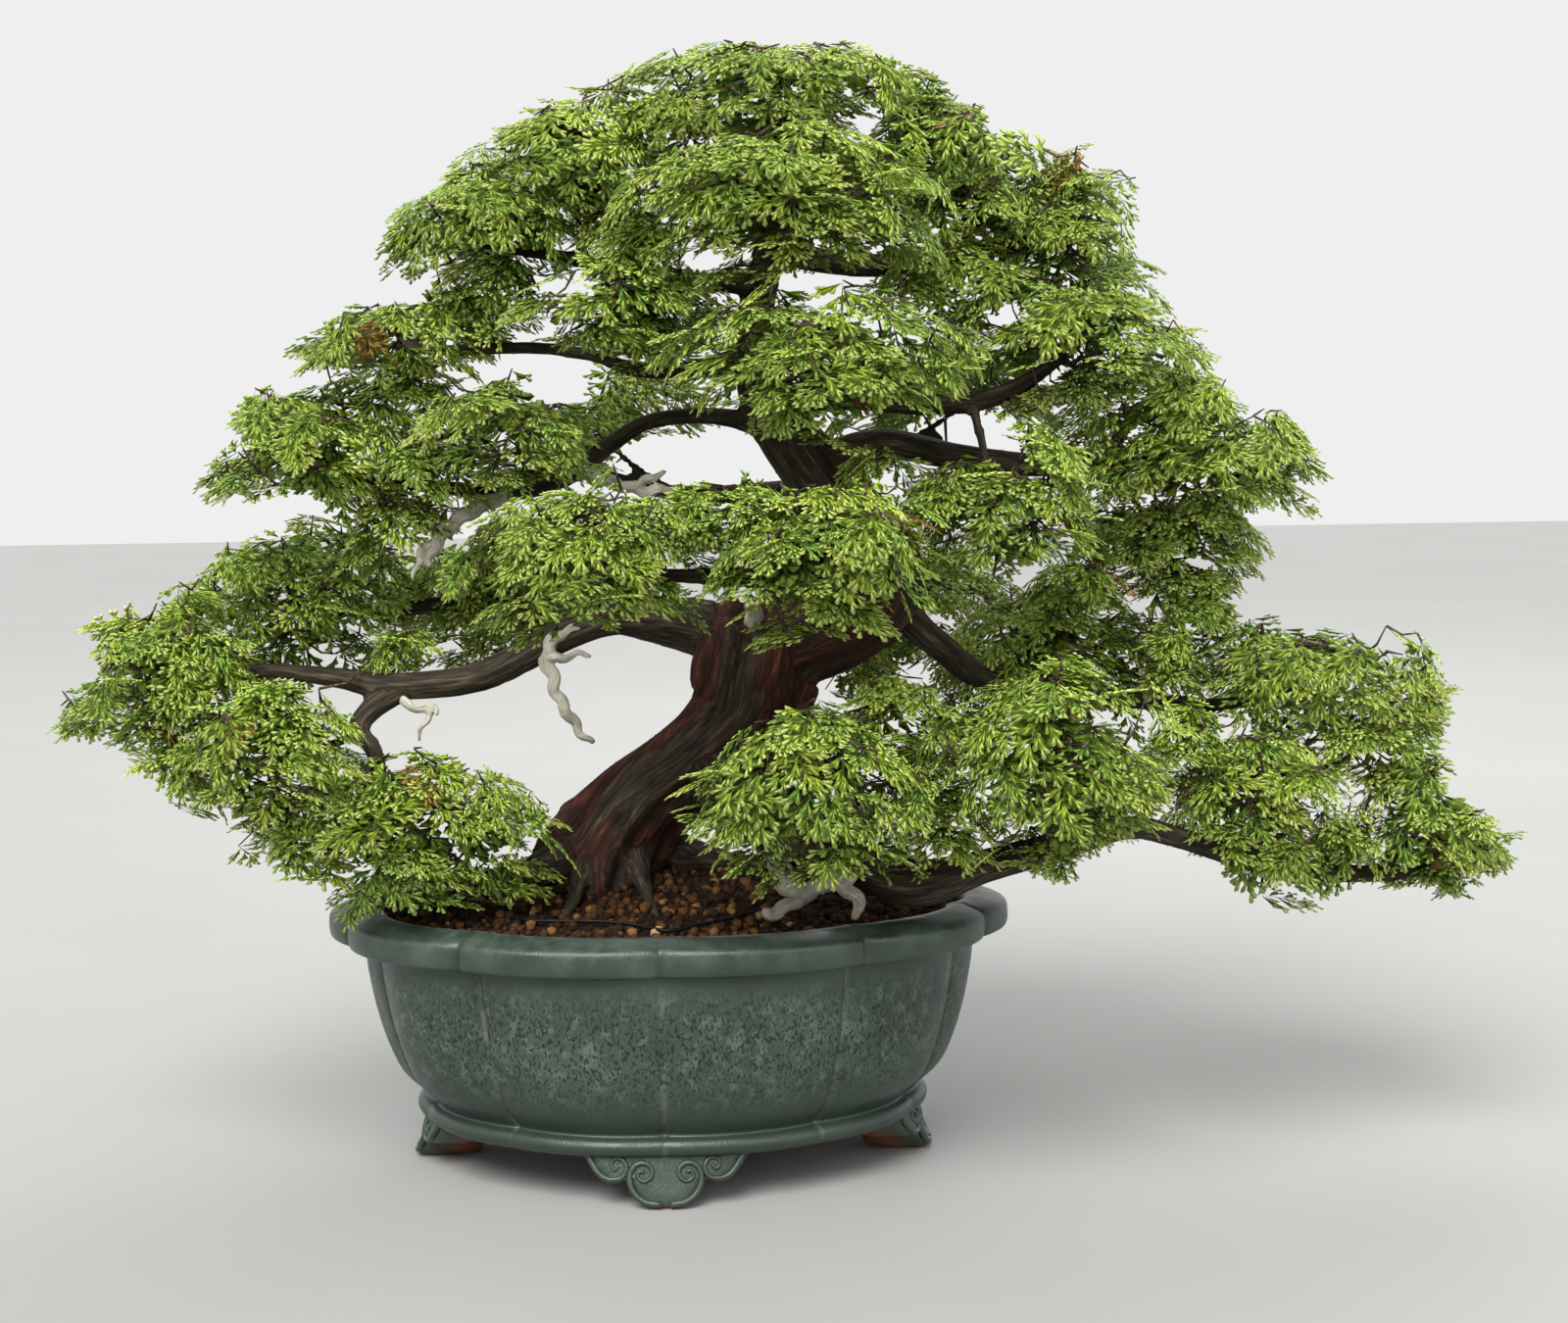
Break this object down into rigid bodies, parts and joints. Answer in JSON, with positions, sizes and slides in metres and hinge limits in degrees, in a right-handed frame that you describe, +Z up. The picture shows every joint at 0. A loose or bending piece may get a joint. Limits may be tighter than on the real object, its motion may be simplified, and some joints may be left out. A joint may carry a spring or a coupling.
{
  "type": "hinoki cypress bonsai",
  "caption": "Informal-upright cypress bonsai with layered fan foliage and deadwood, rooted in soil in a lobed oval glazed pot on scroll feet.",
  "frame": {"origin": "on the ground under the middle of the whole object's box", "axes": "+Z up, +X to the right seen from the front, where the low branch reaches furthest, -Y to the front"},
  "size_m": [0.9652, 0.5038, 0.7346],
  "materials": {
    "glaze": "speckled blue-green glaze, semi-gloss",
    "soil": "moist dark earth with baked-clay grains",
    "bark": "fibrous peeling reddish-brown bark",
    "deadwood": "bleached weathered grey wood",
    "foliage": "living scale leaves, slightly waxy, yellow-green tips",
    "screen": "black plastic mesh",
    "wire": "dark anodised"
  },
  "bodies": {
    "root": {"deadwood_fork": "deadwood", "deadwood_hanging": "deadwood", "deadwood_low": "deadwood", "deadwood_small_left": "deadwood", "deadwood_third_inner": "deadwood", "deadwood_third_left": "deadwood", "drain_screen_left": "screen", "drain_screen_right": "screen", "foliage_crown_back": "foliage", "foliage_crown_front": "foliage", "foliage_crown_left": "foliage", "foliage_crown_right": "foliage", "foliage_crown_top": "foliage", "foliage_far_right": "foliage", "foliage_far_right_inner": "foliage", "foliage_fourth_left": "foliage", "foliage_fourth_left_inner": "foliage", "foliage_fourth_right": "foliage", "foliage_front_left": "foliage", "foliage_front_right": "foliage", "foliage_low_back_left": "foliage", "foliage_low_back_right": "foliage", "foliage_low_front_left": "foliage", "foliage_low_front_right": "foliage", "foliage_low_left": "foliage", "foliage_low_left_front": "foliage", "foliage_low_left_inner": "foliage", "foliage_low_right_back": "foliage", "foliage_low_right_far": "foliage", "foliage_second_front": "foliage", "foliage_second_left": "foliage", "foliage_second_left_inner": "foliage", "foliage_second_right": "foliage", "foliage_third_back_left": "foliage", "foliage_third_back_right": "foliage", "foliage_third_left": "foliage", "foliage_third_left_inner": "foliage", "foliage_third_right": "foliage", "foliage_third_right_inner": "foliage", "foliage_upper_left": "foliage", "foliage_upper_right": "foliage", "pot": "glaze", "soil": "soil", "tie_wire": "wire", "trunk_and_branches": "bark"}
  },
  "joints": []
}
